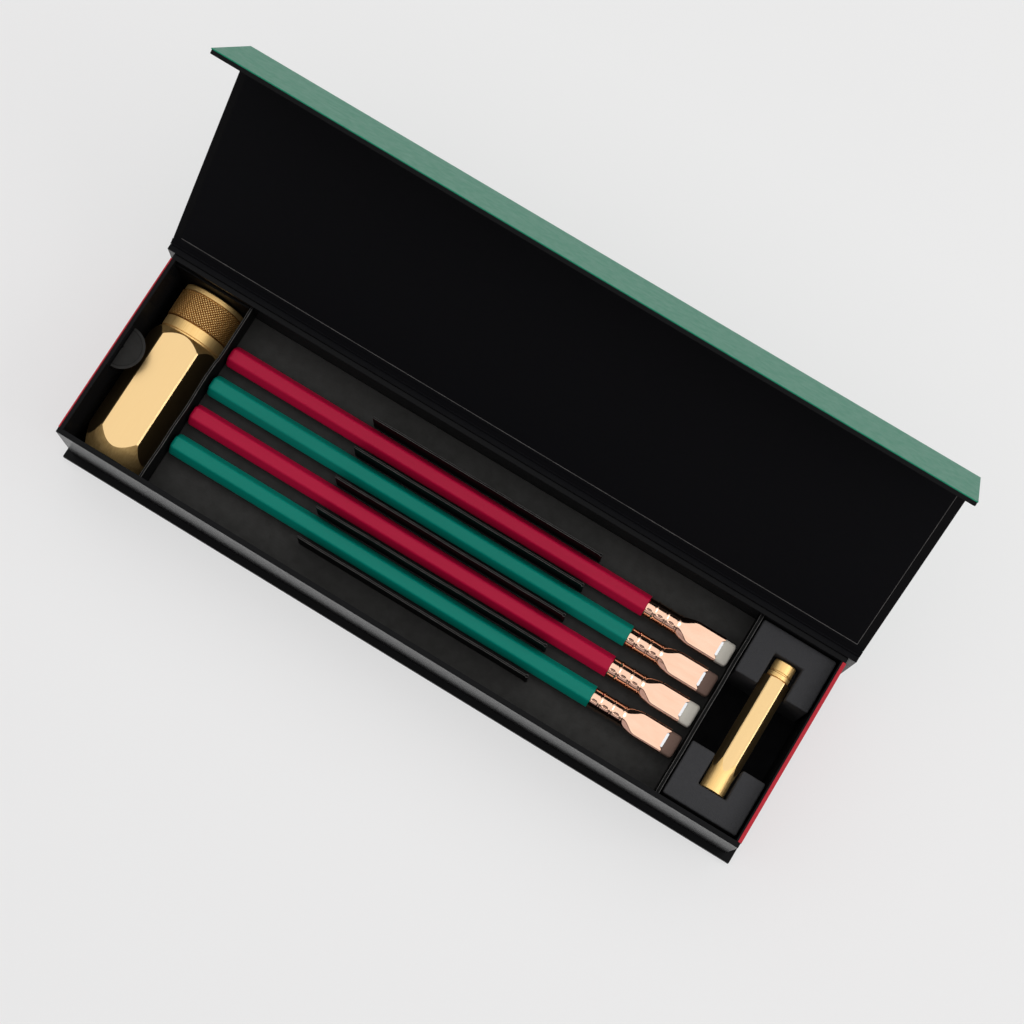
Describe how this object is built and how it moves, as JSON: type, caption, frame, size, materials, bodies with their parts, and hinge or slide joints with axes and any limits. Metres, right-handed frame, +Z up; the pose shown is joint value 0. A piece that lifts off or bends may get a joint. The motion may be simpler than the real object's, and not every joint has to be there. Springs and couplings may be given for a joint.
{
  "type": "pencil gift set",
  "caption": "Open book-style gift box with flat-ferrule pencils on a card platform, a brass sharpener and a brass point guard in foam.",
  "frame": {"origin": "on the table under the base board, at the middle pencil gap and half way along the box", "axes": "+X along the pencils towards their erasers, +Y from the front towards the hinge, +Z up"},
  "size_m": [0.2764, 0.1395, 0.1278],
  "materials": {
    "black_paper_board": "black paper over greyboard, satin",
    "black_paper": "satin black wrap paper",
    "black_lining": "matt black lining paper",
    "green_paper": "satin green wrap paper",
    "red_paper": "satin red wrap paper",
    "insert_card": "dark grey card",
    "foam": "dark grey closed-cell foam",
    "magnet_steel": "nickel plate",
    "red_lacquer": "red lacquer on cedar",
    "green_lacquer": "green lacquer on cedar",
    "graphite": "graphite",
    "rose_metal": "polished rose gold plate",
    "clip_metal": "bright",
    "grey_rubber": "light grey",
    "brown_rubber": "brown",
    "brass": "satin turned brass",
    "blade_steel": "ground steel"
  },
  "bodies": {
    "root": {"base_board": "black_paper_board", "base_cover_paper": "black_paper", "spine_board": "black_paper_board", "spine_cover_paper": "green_paper", "catch_plates": "magnet_steel", "tray_floor": "black_paper_board", "tray_floor_paper": "black_lining", "tray_front_wall": "black_paper_board", "tray_rear_wall": "black_paper_board", "tray_left_wall": "black_paper_board", "tray_right_wall": "black_paper_board", "tray_front_paper": "black_paper", "tray_left_paper": "red_paper", "tray_right_paper": "red_paper", "pencil_platform": "insert_card", "pencil_fins": "insert_card", "left_divider": "insert_card", "right_divider": "insert_card", "left_bay_panel": "insert_card", "tab_strip": "insert_card", "foam_rear": "foam", "foam_front": "foam"},
    "lid": {"lid_board": "black_paper_board", "lid_cover_paper": "green_paper", "lid_lining": "black_lining", "lid_hinge_paper": "black_paper"},
    "flap": {"flap_board": "black_paper_board", "flap_cover_paper": "green_paper", "flap_lining": "black_lining", "flap_hinge_paper": "green_paper", "flap_magnets": "magnet_steel"},
    "tab": {"half_moon_tab": "insert_card"},
    "sharpener": {"sharpener_body": "brass"},
    "sharpener_top": {"sharpener_cap": "brass", "sharpener_insert": "brass", "sharpener_blade": "blade_steel", "sharpener_blade_screw": "blade_steel"},
    "guard": {"guard_barrel": "brass", "guard_end_plug": "brass"},
    "pencil_1": {"pencil_1_barrel": "red_lacquer", "pencil_1_core": "graphite", "pencil_1_ferrule": "rose_metal", "pencil_1_eraser_clip": "clip_metal", "pencil_1_eraser": "grey_rubber"},
    "pencil_2": {"pencil_2_barrel": "green_lacquer", "pencil_2_core": "graphite", "pencil_2_ferrule": "rose_metal", "pencil_2_eraser_clip": "clip_metal", "pencil_2_eraser": "brown_rubber"},
    "pencil_3": {"pencil_3_barrel": "red_lacquer", "pencil_3_core": "graphite", "pencil_3_ferrule": "rose_metal", "pencil_3_eraser_clip": "clip_metal", "pencil_3_eraser": "grey_rubber"},
    "pencil_4": {"pencil_4_barrel": "green_lacquer", "pencil_4_core": "graphite", "pencil_4_ferrule": "rose_metal", "pencil_4_eraser_clip": "clip_metal", "pencil_4_eraser": "brown_rubber"}
  },
  "joints": [
    {"name": "lid_hinge", "type": "hinge", "parent": "root", "child": "lid", "pos_m": [0, 0.0398, 0.0407], "axis": [-1, 0, 0], "range_deg": [-137.4, 68]},
    {"name": "flap_hinge", "type": "hinge", "parent": "lid", "child": "flap", "pos_m": [0, 0.09971, 0.09307], "axis": [1, 0, 0], "range_deg": [-74.1, 15.9]},
    {"name": "tab_hinge", "type": "hinge", "parent": "root", "child": "tab", "pos_m": [-0.13336, 0.0006, 0.03535], "axis": [0, -1, 0], "range_deg": [-35, 75]},
    {"name": "pencil_1_lift", "type": "slide", "parent": "root", "child": "pencil_1", "axis": [0, 0, 1], "range_m": [0, 0.06]},
    {"name": "pencil_2_lift", "type": "slide", "parent": "root", "child": "pencil_2", "axis": [0, 0, 1], "range_m": [0, 0.06]},
    {"name": "pencil_3_lift", "type": "slide", "parent": "root", "child": "pencil_3", "axis": [0, 0, 1], "range_m": [0, 0.06]},
    {"name": "pencil_4_lift", "type": "slide", "parent": "root", "child": "pencil_4", "axis": [0, 0, 1], "range_m": [0, 0.06]},
    {"name": "sharpener_lift", "type": "slide", "parent": "root", "child": "sharpener", "axis": [0, 0, 1], "range_m": [0, 0.06], "deforming": ["half_moon_tab"]},
    {"name": "sharpener_cap_turn", "type": "hinge", "parent": "sharpener", "child": "sharpener_top", "pos_m": [-0.1186, 0.0173, 0.01695], "axis": [0, -1, 0], "range_deg": [0, 360]},
    {"name": "guard_lift", "type": "slide", "parent": "root", "child": "guard", "axis": [0, 0, 1], "range_m": [0, 0.05]}
  ]
}
